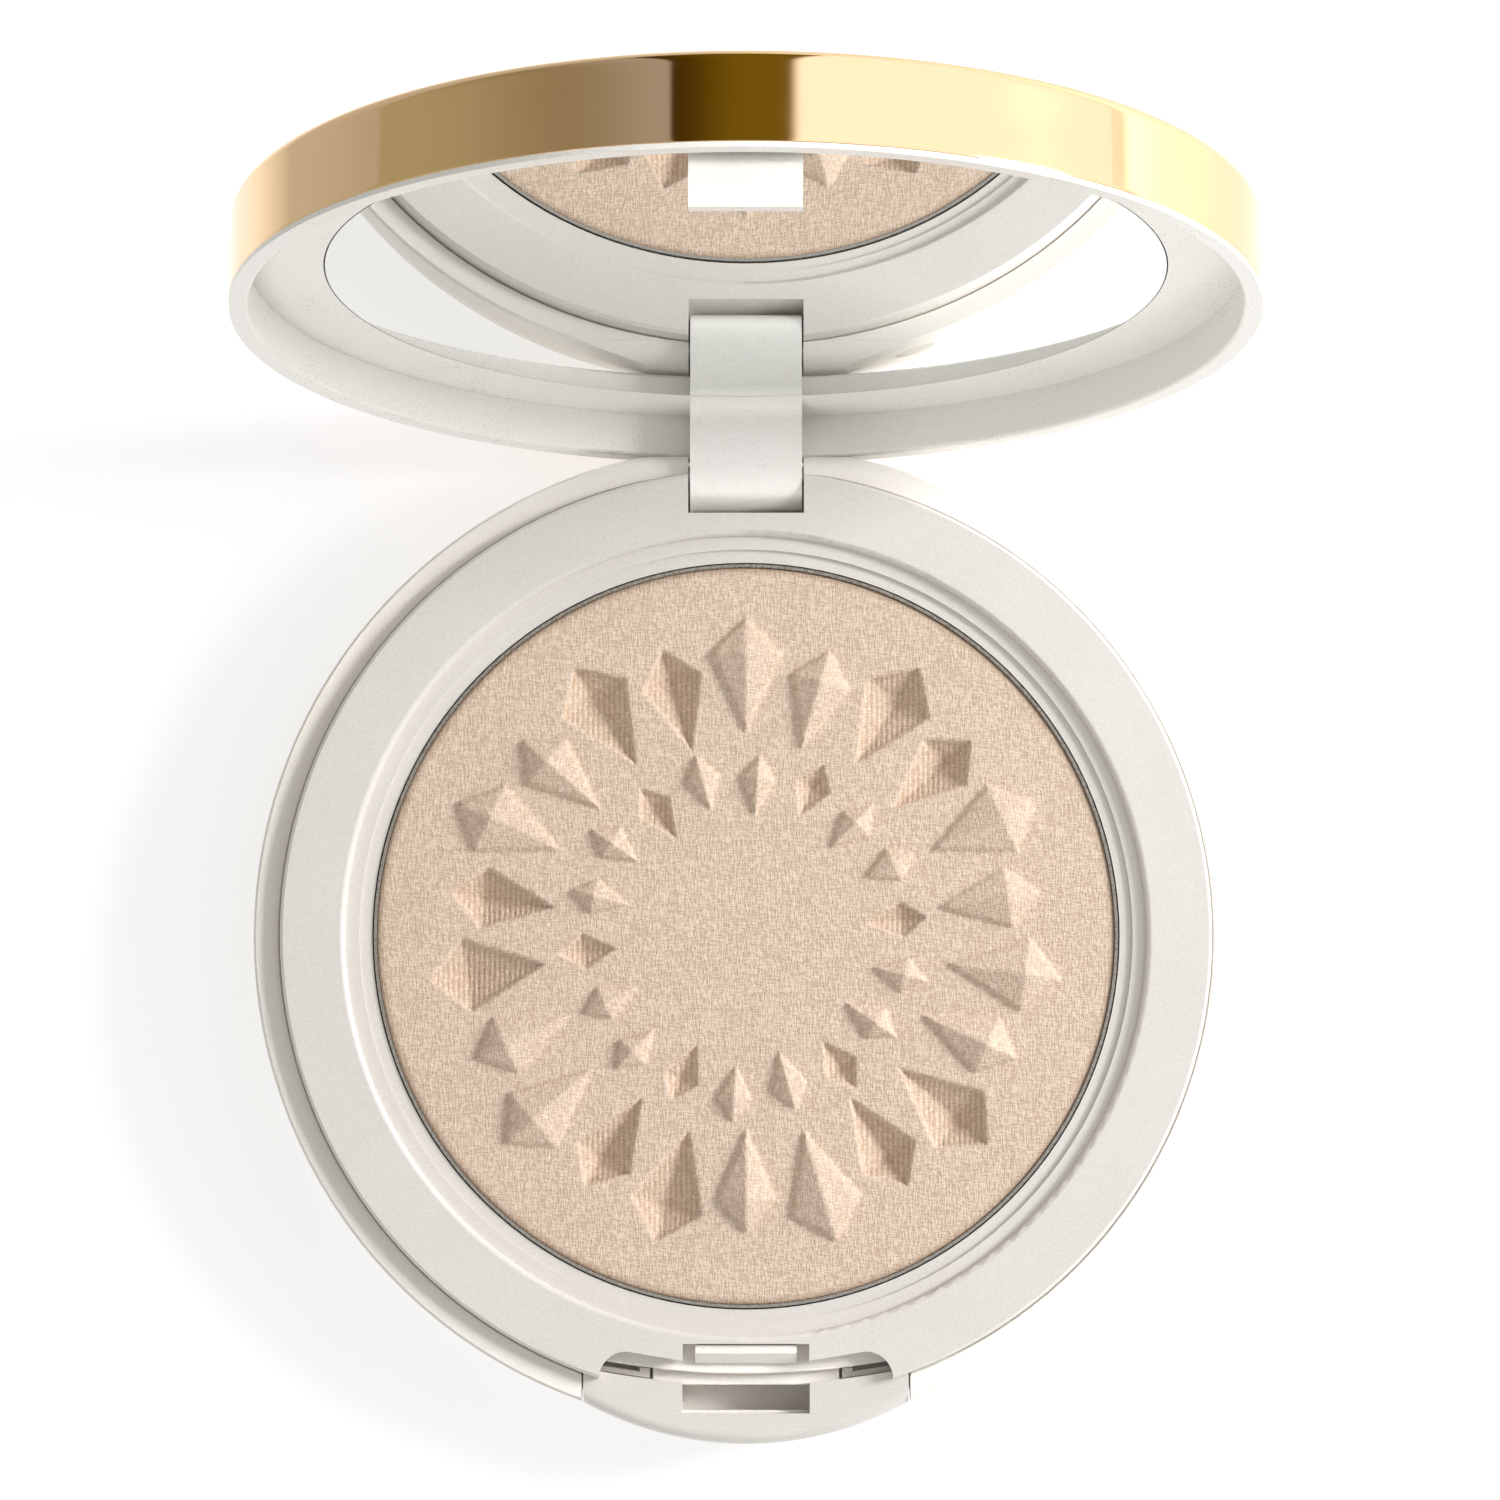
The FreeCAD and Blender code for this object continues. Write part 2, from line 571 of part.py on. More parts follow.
def make_powder_pan():
    """Pressed metal tin."""
    body = new_body("powder_pan")
    turn(body, "tin", [
        ("0", PAN_FLOOR),
        ("dim.pan_radius", PAN_FLOOR),
        ("dim.pan_radius", PAN_TOP),
        ("dim.pan_radius - dim.pan_wall", PAN_TOP),
        ("dim.pan_radius - dim.pan_wall", f"{PAN_FLOOR} + dim.pan_wall"),
        ("0", f"{PAN_FLOOR} + dim.pan_wall"),
    ])
    round_ring(body, "tin_foot", [("dim.pan_radius", PAN_FLOOR)], "dim.pan_wall")
    return body


def disc(label, radius, low, high):
    """A plain round disc between two heights."""
    body = new_body(label)
    sketch = circle(body, label + "_outline", "XY_Plane", "0", "0", radius, lift=low)
    extrude(body, label + "_disc", sketch, f"{high} - {low}")
    return body


def make_hinge_pin():
    """Steel pin along X."""
    body = new_body("hinge_pin")
    sketch = circle(body, "pin_outline", "YZ_Plane", "dim.axis_y", AXIS_Z, "dim.pin_radius")
    pin = extrude(body, "pin", sketch, "dim.pin_length", both_ways=True)
    ends = [f"Edge{i}" for i, edge in enumerate(pin.Shape.Edges, 1) if isinstance(edge.Curve, Part.Circle)]
    chamfer = body.newObject("PartDesign::Chamfer", "pin_ends")
    chamfer.Base = (pin, ends)
    chamfer.setExpression("Size", "dim.pin_radius / 4")
    doc.recompute()
    return body


# ---------------------------------------------------------------- button

def make_push_button():
    """Crescent button: top with the hook's notch, front wall and two cheeks."""
    body = new_body("push_button")
    half = "dim.button_half"
    front = [(f"-{half}", "-dim.button_corner", button_front_radius()), (half, "-dim.button_corner")]
    back = [(half, back_edge("dim.button_back", half), "-dim.back_curve"),
            (f"-{half}", back_edge("dim.button_back", half))]
    under = "(dim.base_height - dim.button_depth)"
    sketch = outline(body, "crescent_outline", "XY_Plane", front + back, lift=under)
    extrude(body, "crescent", sketch, "dim.button_depth")
    round_front(body, "button_edge", "dim.base_height", "dim.button_round")
    round_front(body, "button_underedge", under, "dim.button_chin")

    # hollow under the top, behind the front wall and between the cheeks
    inside = "(dim.button_half - dim.button_cheek)"
    curve = button_front_radius("-dim.button_skirt")
    skirt_in = "(dim.button_front - dim.button_skirt)"
    corner = f"({skirt_in} - {curve} + sqrt({curve} ^ 2 - {inside} ^ 2))"
    hollow = [
        (f"-{inside}", f"-{corner}", curve),
        (inside, f"-{corner}"),
        (inside, "-dim.latch_block_back"),
        (f"-{inside}", "-dim.latch_block_back"),
    ]
    well_cut(body, "hollow", hollow, "dim.base_height - dim.button_plate", f"{under} - dim.overrun")
    notch = box_corners("-dim.notch_half", "dim.notch_half", "-dim.notch_front", "-dim.latch_block_back")
    well_cut(body, "hook_notch", notch, "dim.base_height + dim.overrun", under)
    return body


def round_front(body, name, height, radius):
    """Rounds the long front edge of the crescent at the given height."""
    base = body.Tip
    curve = number(button_front_radius())
    picks = []
    for index, edge in enumerate(base.Shape.Edges, start=1):
        if isinstance(edge.Curve, Part.Circle) and abs(edge.Curve.Radius - curve) < 1e-4:
            if abs(edge.Curve.Center.z - number(height)) < 1e-4:
                picks.append(f"Edge{index}")
    feature = body.newObject("PartDesign::Fillet", name)
    feature.Base = (base, picks)
    feature.setExpression("Radius", radius)
    doc.recompute()


def make_button_arm(label, side):
    """Leaf that springs the button out: it leaves the cheek and its padded tip bears on the case."""
    body = new_body(label)
    root = "(dim.button_half - dim.button_cheek)"
    pad_end = "(dim.arm_tip + dim.arm_pad)"
    front = "dim.button_back"
    leaf_back = "(dim.button_back - dim.arm_thickness)"
    pad_back = f"({BACK_WALL} + dim.button_slack / 2)"
    corners = [
        ("dim.arm_tip", back_edge(front, "dim.arm_tip")),
        (root, back_edge(front, root)),
        (root, back_edge(leaf_back, root)),
        (pad_end, back_edge(leaf_back, pad_end)),
        (pad_end, back_edge(pad_back, pad_end)),
        ("dim.arm_tip", back_edge(pad_back, "dim.arm_tip")),
    ]
    if side < 0:
        corners = [(f"-({across})", up) for across, up in reversed(corners)]
    low = f"({RAIL_Z} - dim.arm_height)"
    sketch = outline(body, label + "_outline", "XY_Plane", corners, lift=low)
    extrude(body, label + "_leaf", sketch, "dim.arm_height")
    return body


# ---------------------------------------------------------------- lid, drawn closed

def make_lid_frame():
    """Pearl moulding: lip, inner wall, bezel and mirror seat, with the hinge lug and the hook."""
    body = new_body("lid_frame")
    mirror_seat = "(dim.mirror_radius + dim.mirror_gap)"
    lip_top = f"({LIP_Z} + dim.lip_height)"
    turn(body, "lid_moulding", [
        ("0", MIRROR_BACK),
        (mirror_seat, MIRROR_BACK),
        (mirror_seat, BEZEL_Z),
        (LID_INNER, BEZEL_Z),
        (LID_INNER, LIP_Z),
        ("dim.case_radius", LIP_Z),
        ("dim.case_radius", lip_top),
        (FRAME_OUTER, lip_top),
        (FRAME_OUTER, FRAME_TOP),
        (COVER_SEAT, FRAME_TOP),
        (COVER_SEAT, WEB_TOP),
        ("0", WEB_TOP),
    ])
    round_ring(body, "lip_edge", [(LID_INNER, LIP_Z)], "dim.bezel_round")

    # hinge lug, between the bezel and the tip round the pin
    front = "(dim.axis_y - dim.lug_reach)"
    back = "(dim.axis_y + dim.axis_drop)"
    tip = f"({AXIS_Z} - sqrt(dim.lug_reach ^ 2 - dim.axis_drop ^ 2))"
    into = f"({BEZEL_Z} + dim.web_wall)"
    # the fillet at the lug's root ends before the mirror's edge
    root_round = f"min(dim.lug_fillet; {front} - {mirror_seat} - dim.mirror_gap)"
    lug = outline(body, "lug_outline", "YZ_Plane", [
        (front, AXIS_Z, "dim.lug_reach"),
        (back, tip),
        (back, f"{LIP_Z} + dim.lip_height / 2"),
        (f"({LID_INNER} + dim.lip_width / 4)", f"{LIP_Z} + dim.lip_height / 2"),
        (f"({LID_INNER} + dim.lip_width / 4)", into),
        (f"({front} - {root_round})", into),
        (f"({front} - {root_round})", BEZEL_Z, f"-{root_round}"),
        (front, f"({BEZEL_Z} - {root_round})"),
    ])
    extrude(body, "lug", lug, "dim.lug_width", both_ways=True)
    bore = circle(body, "lug_bore_outline", "YZ_Plane", "dim.axis_y", AXIS_Z,
                  "dim.pin_radius + dim.pin_slack")
    checked_cut(body, "lug_bore", bore, "dim.lug_width + dim.overrun", both_ways=True)

    # hook that drops through the button's notch
    hook_tip = f"({LIP_Z} - dim.hook_length)"
    step = f"({LIP_Z} - dim.lip_height)"
    under_plate = "(dim.base_height - dim.button_plate)"
    barb = f"({RAIL_Z} - dim.keeper_lip)"
    hook = outline(body, "hook_outline", "YZ_Plane", [
        ("-dim.hook_back", into),
        ("-dim.hook_root", into),
        ("-dim.hook_root", step),
        ("-dim.hook_face", step),
        ("-dim.hook_face", under_plate),
        ("-dim.hook_barb", barb),
        ("-dim.hook_root", hook_tip),
        ("-dim.hook_back", hook_tip),
    ])
    extrude(body, "hook", hook, "2 * dim.hook_half", both_ways=True)
    return body


def make_lid_ring():
    """Gold ring: a thin band round the lid whose top turns in over the cover plate's edge."""
    body = new_body("lid_ring")
    inner = "(dim.case_radius - dim.ring_wall)"
    low = f"({LIP_Z} + dim.lip_height)"
    turn(body, "band", [
        (inner, low),
        ("dim.case_radius", low),
        ("dim.case_radius", RING_TOP),
        ("dim.ring_inner", RING_TOP),
        ("dim.ring_inner", RING_UNDER),
        (inner, RING_UNDER),
    ])
    round_ring(body, "band_edge", [("dim.case_radius", RING_TOP)], "dim.ring_round")
    round_ring(body, "band_hole", [("dim.ring_inner", RING_TOP)], "dim.ring_wall / 2")
    return body


def make_lid_cover():
    """Plain pearl plate in the top of the lid, slightly domed."""
    body = new_body("lid_cover")
    rim = f"({COVER_SEAT} - dim.cover_gap)"
    top = f"({RING_UNDER} - dim.ring_gap)"
    step = "(dim.ring_inner - dim.cover_gap)"
    crown = f"({LIP_Z} + dim.lid_height)"
    edge = f"({crown} - dim.cover_crown)"
    dome = f"(({step} ^ 2 + dim.cover_crown ^ 2) / (2 * dim.cover_crown))"
    turn(body, "cover", [
        ("0", WEB_TOP),
        (rim, WEB_TOP),
        (rim, top),
        (step, top),
        (step, edge, dome),
        ("0", crown),
    ])
    return body


def open_lid(body):
    """Turns a piece of the lid back about the hinge axis, to where the open lid rests."""
    body.setExpression(
        "Placement",
        "create(<<placement>>; create(<<vector>>; 0; 0; 0);"
        " create(<<rotation>>; create(<<vector>>; 1; 0; 0); -dim.open_angle);"
        f" create(<<vector>>; 0; dim.axis_y; {AXIS_Z}))")


base_shell = make_base_shell()
pan_frame = make_pan_frame()
powder_pan = make_powder_pan()
pan_glue = disc("pan_glue", "dim.glue_radius", WELL_FLOOR, PAN_FLOOR)
powder_cake = disc("powder_cake", "(dim.pan_radius - dim.pan_wall)", f"({PAN_FLOOR} + dim.pan_wall)",
                   f"({PAN_TOP} - dim.cake_below_rim)")
underside_label = disc("underside_label", "dim.label_radius", "0", "dim.label_thickness")
hinge_pin = make_hinge_pin()
push_button = make_push_button()
button_arm_left = make_button_arm("button_arm_left", -1)
button_arm_right = make_button_arm("button_arm_right", 1)
lid_frame = make_lid_frame()
lid_ring = make_lid_ring()
lid_cover = make_lid_cover()
mirror = disc("mirror", "dim.mirror_radius", BEZEL_Z, GLASS_BACK)
mirror_tape = disc("mirror_tape", "dim.mirror_glue_radius", GLASS_BACK, MIRROR_BACK)
for piece in (lid_frame, lid_ring, lid_cover, mirror, mirror_tape):
    open_lid(piece)
doc.recompute()

# ---------------------------------------------------------------- checks and files

PIECES = [
    base_shell, pan_frame, powder_pan, pan_glue, powder_cake, underside_label, hinge_pin,
    push_button, button_arm_left, button_arm_right,
    lid_frame, lid_ring, lid_cover, mirror, mirror_tape,
]
for item in doc.Objects:
    if "Invalid" in item.State or "Error" in item.State:
        raise RuntimeError(f"{item.Label} failed: {item.State}")
for piece in PIECES:
    shape = piece.Shape
    if shape.isNull() or not shape.isValid() or len(shape.Solids) != 1:
        raise RuntimeError(f"{piece.Label} is not one good solid")

os.makedirs("parts", exist_ok=True)
for piece in PIECES:
    piece.Shape.exportStep(os.path.join("parts", piece.Label + ".step"))
    print(f"{piece.Label:18s} {piece.Shape.Volume:9.1f} mm3")
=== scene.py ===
# %% [markdown]
# A pressed-powder compact, open on a pale table
#
# The case, the lid, the button and the mirror are exact CAD pieces that this lesson loads and
# finishes with procedural materials. Four pieces are made new with numpy, each for a reason of
# its own: the powder for its relief of facets, the gold ring for a smoother mirror finish, and
# the button's two spring arms, thin leaves that bend in the real case.

# %% Load the imported pieces
import json

import bpy
import numpy as np
from mathutils import Matrix, Vector


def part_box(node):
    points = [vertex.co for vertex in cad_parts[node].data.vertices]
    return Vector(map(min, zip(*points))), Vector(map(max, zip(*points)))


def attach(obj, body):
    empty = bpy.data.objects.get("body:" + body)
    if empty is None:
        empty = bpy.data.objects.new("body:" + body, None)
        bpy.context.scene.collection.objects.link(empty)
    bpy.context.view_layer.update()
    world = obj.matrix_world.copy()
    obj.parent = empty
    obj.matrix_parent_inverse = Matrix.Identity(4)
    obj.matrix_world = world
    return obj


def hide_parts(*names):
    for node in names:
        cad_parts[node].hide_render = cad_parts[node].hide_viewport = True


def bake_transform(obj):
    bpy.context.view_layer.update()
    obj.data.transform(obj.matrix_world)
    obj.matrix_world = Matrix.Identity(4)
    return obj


MM = 0.001

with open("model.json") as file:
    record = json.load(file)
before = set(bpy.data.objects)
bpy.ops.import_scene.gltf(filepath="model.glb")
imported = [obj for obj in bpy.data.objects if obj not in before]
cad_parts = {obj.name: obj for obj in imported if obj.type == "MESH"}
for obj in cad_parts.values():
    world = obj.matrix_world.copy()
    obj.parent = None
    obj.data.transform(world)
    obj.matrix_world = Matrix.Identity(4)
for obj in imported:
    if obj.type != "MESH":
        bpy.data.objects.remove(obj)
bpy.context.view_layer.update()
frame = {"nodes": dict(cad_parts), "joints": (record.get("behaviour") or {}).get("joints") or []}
nodes = frame["nodes"]
print("pieces:", ", ".join(sorted(nodes)))

# %% [markdown]
# The camera
#
# A cosmetics picture is taken from nearly straight above with a long lens, so that the round base
# stays round and the open lid is seen from its edge. The camera is turned with a matrix whose
# columns are its right, its up and its back.

# %% Camera
CAMERA_PLACE = Vector((0.32, -27.84, 678.33)) * MM
CAMERA_BACK = Vector((0, -0.0637, 0.998)).normalized()
CAMERA_RIGHT = Vector((1, 0, 0))
LENS, SENSOR = 200.4, 36

camera_data = bpy.data.cameras.new("camera")
camera_data.lens = LENS
camera_data.sensor_width = SENSOR
camera_data.clip_start = 0.01
camera = bpy.data.objects.new("camera", camera_data)
bpy.context.scene.collection.objects.link(camera)
turn = Matrix((CAMERA_RIGHT, CAMERA_BACK.cross(CAMERA_RIGHT), CAMERA_BACK)).transposed()
camera.matrix_world = Matrix.Translation(CAMERA_PLACE) @ turn.to_4x4()
bpy.context.scene.camera = camera
bpy.context.scene.view_settings.view_transform = "Standard"
print("camera is", round(CAMERA_PLACE.length, 3), "m from the middle of the base")

# %% [markdown]
# Grids become meshes
#
# Every new surface is an array of points with rows and columns. Each cell of the grid is a face of
# four corners, whose numbers numpy works out for the whole array at once.

# %% From a grid of points to an object
def grid_faces(rows, columns):
    """Corner numbers of each cell of a grid that closes on itself along its columns."""
    row, column = np.meshgrid(np.arange(rows - 1), np.arange(columns), indexing="ij")
    following = (column + 1) % columns
    corners = (row * columns + column, row * columns + following,
               (row + 1) * columns + following, (row + 1) * columns + column)
    return np.stack([c.ravel() for c in corners], axis=1)


def new_piece(name, points, quads, ends):
    """Makes an object from an array of points, its four-sided faces and those that close its
    ends."""
    mesh = bpy.data.meshes.new(name)
    mesh.from_pydata(points.tolist(), [], quads.tolist() + ends.tolist())
    mesh.shade_smooth()
    piece = bpy.data.objects.new(name, mesh)
    bpy.context.scene.collection.objects.link(piece)
    print(f"{name}: {len(points)} points, {len(mesh.polygons)} faces")
    return piece


# %% [markdown]
# The facets in the powder
#
# The press leaves a wreath of kite-shaped facets round a plain middle. A kite is drawn in its own
# two directions: along its axis, which points away from the middle, and across it. It is widest
# part of the way out and its width falls evenly to nothing at both tips.

# %% Height of one kite
def kite_height(x, y, angle, inner, widest, outer, half_width, lift, step):
    """Height of a kite facet at x, y, and how much of it is there. The height rises evenly from
    the kite's sides to the ridge on its axis, on top of a small step along its outline."""
    along = x * np.cos(angle) + y * np.sin(angle)
    across = -x * np.sin(angle) + y * np.cos(angle)
    inside = np.where(along < widest, (along - inner) / (widest - inner),
                      (outer - along) / (outer - widest))
    depth = inside * half_width - np.abs(across)
    edge = np.clip(depth / KITE_BEVEL, 0, 1)
    edge = edge * edge * (3 - 2 * edge)
    return edge * step + np.clip(depth, 0, None) / half_width * lift, edge


# %% [markdown]
# The wreath
#
# Long kites alternate with shorter ones, and raised kites with sunken ones. A second wreath of
# small kites lies inside the first. All come from a few numbers, in millimetres: how far from the
# middle a kite starts, is widest and ends, and how much further a long one reaches.

# %% The whole relief
KITE_BEVEL = 0.34
OUTER_KITES, INNER_KITES = 22, 18
OUTER_SPAN, OUTER_GROWTH = np.array((15.4, 21.2, 23.9)), np.array((0.8, 1.4, 1.7))
INNER_SPAN, INNER_GROWTH = np.array((9.5, 12.6, 14.6)), np.array((0.9, 0.5, 0.5))
OUTER_HALF, OUTER_WIDER, INNER_HALF = 2.5, 0.5, 1.5
INNER_TURN = 0.1
# height of the ridge over the step, and of the step
RAISED, SUNKEN, SMALL = (1.15, 0.3), (1.6, 0.38), (0.8, 0.26)


def wreath_height(x, y):
    """Height of the relief at x, y, in millimetres, and where the sunken facets are."""
    height = np.zeros_like(x)
    sunken = np.zeros_like(x)
    for number in range(OUTER_KITES):
        angle = (number + 0.5) * 2 * np.pi / OUTER_KITES
        long = number % 2
        sign = 1 if number % 4 in (0, 1) else -1
        lift, edge = kite_height(x, y, angle, *(OUTER_SPAN + OUTER_GROWTH * long),
                                 OUTER_HALF + OUTER_WIDER * long, *(RAISED if sign > 0 else SUNKEN))
        height += sign * lift
        sunken = np.maximum(sunken, edge * (sign < 0))
    for number in range(INNER_KITES):
        angle = number * 2 * np.pi / INNER_KITES + INNER_TURN
        sign = 1 if number % 3 else -1
        long = number % 2
        lift, edge = kite_height(x, y, angle, *(INNER_SPAN + INNER_GROWTH * long), INNER_HALF, *SMALL)
        height += sign * lift
        sunken = np.maximum(sunken, edge * (sign < 0))
    return height, sunken


# %% [markdown]
# The pressed powder
#
# The powder is one closed form: rings of points run out over the top, round the soft outer edge,
# down the side and back to the middle underneath. The rings lie closest together where the
# facets are.

# %% Rings over the top of the powder
POWDER_COLUMNS = 704
EDGE_ROUND = 0.3
WREATH_START, WREATH_END = 9, 26

low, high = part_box("powder_cake")
powder_radius = (high.x - low.x) / 2 / MM
powder_top = high.z / MM
powder_foot = low.z / MM

radii = np.concatenate([np.linspace(0.6, WREATH_START, 8),
                        np.linspace(WREATH_START + 0.14, WREATH_END, 118),
                        np.linspace(WREATH_END + 0.4, powder_radius - EDGE_ROUND, 6)])
turns = np.arange(POWDER_COLUMNS) * 2 * np.pi / POWDER_COLUMNS
radius, angle = np.meshgrid(radii, turns, indexing="ij")
x, y = radius * np.cos(angle), radius * np.sin(angle)
relief, sunken = wreath_height(x, y)
top = np.stack([x, y, powder_top + relief], axis=2)
print("relief from", round(float(relief.min()), 2), "to", round(float(relief.max()), 2), "mm")

# %% Rings down the side of the powder
# the soft edge is a quarter circle, then the side goes straight down
bend = np.linspace(0, np.pi / 2, 5)[1:]
edge_radii = np.concatenate([powder_radius - EDGE_ROUND * (1 - np.sin(bend)), [powder_radius]])
edge_heights = np.concatenate([powder_top - EDGE_ROUND * (1 - np.cos(bend)), [powder_foot]])
side = np.stack([np.outer(edge_radii, np.cos(turns)), np.outer(edge_radii, np.sin(turns)),
                 np.repeat(edge_heights[:, None], POWDER_COLUMNS, axis=1)], axis=2)
rings = np.concatenate([top, side])
print(len(rings), "rings of", POWDER_COLUMNS, "points")

# %% The closed powder
ring_points = rings.reshape(-1, 3)
points = np.concatenate([ring_points, [[0, 0, powder_top], [0, 0, powder_foot]]]) * MM
around = np.arange(POWDER_COLUMNS)
after = (around + 1) % POWDER_COLUMNS
last = (len(rings) - 1) * POWDER_COLUMNS
middle_fan = np.stack([np.full(POWDER_COLUMNS, len(ring_points)), around, after], axis=1)
foot_fan = np.stack([np.full(POWDER_COLUMNS, len(ring_points) + 1), last + after, last + around],
                    axis=1)
pressed_powder = new_piece("pressed_powder", points, grid_faces(len(rings), POWDER_COLUMNS)[:, ::-1],
                           np.concatenate([middle_fan, foot_fan]))

# the powder's finish reads where the sunken facets are
shade = np.zeros(len(points), np.float32)
shade[:sunken.size] = sunken.ravel()
pressed_powder.data.attributes.new("sunken", "FLOAT", "POINT").data.foreach_set("value", shade)
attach(pressed_powder, "base")
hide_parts("powder_cake")

# %% [markdown]
# The gold ring
#
# Polished metal shows every flat between two facets, so the ring is turned again here with many
# more of them. Its profile, in radius and height, is carried round a full circle, and then the
# whole ring is swung back about the hinge to where the open lid rests.

# %% Profile of the ring
RING_OUTER, RING_INNER_WALL, RING_HOLE = 39.5, 38.9, 36.6
RING_LOW, RING_TOP, RING_UNDER = 9.55, 16.75, 16.15
TOP_ROUND, HOLE_ROUND, LOW_ROUND = 1.0, 0.3, 0.08
BAND_MARGIN = 0.2


def quarter(middle_radius, middle_height, size, start, stop, steps):
    """Points on a circle's arc, from one angle to another in degrees."""
    bend = np.radians(np.linspace(start, stop, steps))
    return np.stack([middle_radius + size * np.cos(bend), middle_height + size * np.sin(bend)], axis=1)


profile = np.concatenate([
    [(RING_INNER_WALL, RING_UNDER), (RING_INNER_WALL, RING_LOW)],
    quarter(RING_OUTER - LOW_ROUND, RING_LOW + LOW_ROUND, LOW_ROUND, -90, 0, 4),
    [(RING_OUTER, height) for height in
     np.linspace(RING_LOW + 0.3, RING_TOP - TOP_ROUND - BAND_MARGIN, 5)],
    quarter(RING_OUTER - TOP_ROUND, RING_TOP - TOP_ROUND, TOP_ROUND, 0, 90, 14),
    [(RING_OUTER - TOP_ROUND - BAND_MARGIN, RING_TOP)],
    quarter(RING_HOLE + HOLE_ROUND, RING_TOP - HOLE_ROUND, HOLE_ROUND, 90, 180, 6),
    [(RING_HOLE, RING_UNDER)],
])
print(len(profile), "points in the ring's profile")

# %% Ring swung open
hinge = next(joint for joint in frame["joints"] if joint["name"] == "lid_hinge")
hinge_place = np.array(hinge["pos_m"]) / MM
open_angle = np.radians(hinge["range_deg"][1])


def swing_open(closed):
    """Turns points back about the hinge axis, which runs along X, by the lid's full angle."""
    y = closed[:, 1] - hinge_place[1]
    z = closed[:, 2] - hinge_place[2]
    cos, sin = np.cos(-open_angle), np.sin(-open_angle)
    return np.stack([closed[:, 0], hinge_place[1] + y * cos - z * sin,
                     hinge_place[2] + y * sin + z * cos], axis=1)


print("the lid swings", round(hinge["range_deg"][1], 1), "degrees")

# %% The gold ring as a piece
RING_COLUMNS = 480
RING_SHARP = 50
turns = np.arange(RING_COLUMNS) * 2 * np.pi / RING_COLUMNS
around_ring = np.stack([np.outer(profile[:, 0], np.cos(turns)),
                        np.outer(profile[:, 0], np.sin(turns)),
                        np.repeat(profile[:, 1:], RING_COLUMNS, axis=1)], axis=2).reshape(-1, 3)
rows = len(profile)
ring_quads = grid_faces(rows, RING_COLUMNS)
first, after = np.arange(RING_COLUMNS), (np.arange(RING_COLUMNS) + 1) % RING_COLUMNS
end = (rows - 1) * RING_COLUMNS
closing = np.stack([end + first, end + after, after, first], axis=1)
gold_ring = new_piece("gold_ring", swing_open(around_ring) * MM,
                      np.concatenate([ring_quads, closing]), np.zeros((0, 3), int))
gold_ring.data.set_sharp_from_angle(angle=np.radians(RING_SHARP))
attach(gold_ring, "lid")
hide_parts("lid_ring")

# %% [markdown]
# Spring arms
#
# Two thin leaves push the button out: each grows from the button's side, and its padded tip bears
# on the case. Were they stiff, they would sink into the case when the button is pressed. Each leaf
# is made here as a new surface, in its resting shape.

# %% Cross-sections of an arm
PAD_LENGTH, PAD_SLOPE, LEAF_SLOPE = 0.8, 0.1, 0.52
TIP_THICKNESS, ROOT_THICKNESS, ARM_CUT, PAD_STEP = 0.85, 0.5, 0.06, 0.03
SECTION_POINTS, ARM_SHARP = 8, 30


def arm_sections(low, high, near, far):
    """Places across, and at each of them eight points: a rectangle with cut corners. From the
    arm's tip to its root the front leans back evenly, and the back steps in behind the pad."""
    pad_end = near + PAD_LENGTH
    pad = np.linspace(0, 1, 5)
    leaf = np.linspace(0, 1, 18)
    across = np.concatenate([near + pad * PAD_LENGTH,
                             pad_end + PAD_STEP + leaf * (far - pad_end - PAD_STEP)])
    front_root = high.y / MM - ROOT_THICKNESS
    front = low.y / MM + (front_root - low.y / MM) * (across - near) / (far - near)
    back = np.concatenate([low.y / MM + TIP_THICKNESS + pad * PAD_SLOPE,
                           high.y / MM - LEAF_SLOPE * (1 - leaf)])
    foot, head = np.full_like(front, low.z / MM), np.full_like(front, high.z / MM)
    ups = [foot + ARM_CUT, head - ARM_CUT, head, head, head - ARM_CUT, foot + ARM_CUT, foot, foot]
    deeps = [front, front, front + ARM_CUT, back - ARM_CUT, back, back, back - ARM_CUT, front + ARM_CUT]
    return across, np.stack([np.stack(deeps, axis=1), np.stack(ups, axis=1)], axis=2)


# %% Spring arms
def spring_arm(name, node, side):
    """Carries the cross-sections sideways and closes both ends of the arm."""
    low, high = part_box(node)
    near, far = min(abs(low.x), abs(high.x)) / MM, max(abs(low.x), abs(high.x)) / MM
    across, section = arm_sections(low, high, near, far)
    sideways = np.repeat(side * across[:, None, None], SECTION_POINTS, axis=1)
    points = np.concatenate([sideways, section], axis=2)
    faces = grid_faces(len(across), SECTION_POINTS)
    cap = np.arange(SECTION_POINTS)
    caps = np.stack([cap, cap[::-1] + (len(across) - 1) * SECTION_POINTS])
    if side > 0:
        faces = faces[:, ::-1]
    else:
        caps = caps[:, ::-1]
    arm = new_piece(name, points.reshape(-1, 3) * MM, faces, caps)
    arm.data.set_sharp_from_angle(angle=np.radians(ARM_SHARP))
    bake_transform(arm)
    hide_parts(node)


spring_arm("spring_arm_left", "button_arm_left", -1)
spring_arm("spring_arm_right", "button_arm_right", 1)

# %% [markdown]
# Building a material
#
# Each finish is a Principled shader whose colour, roughness and bump come from small patterns in
# the object's own metres. The helpers below keep the cells short: one starts a material, one adds
# a node, one adds a noise of a given grain in millimetres.

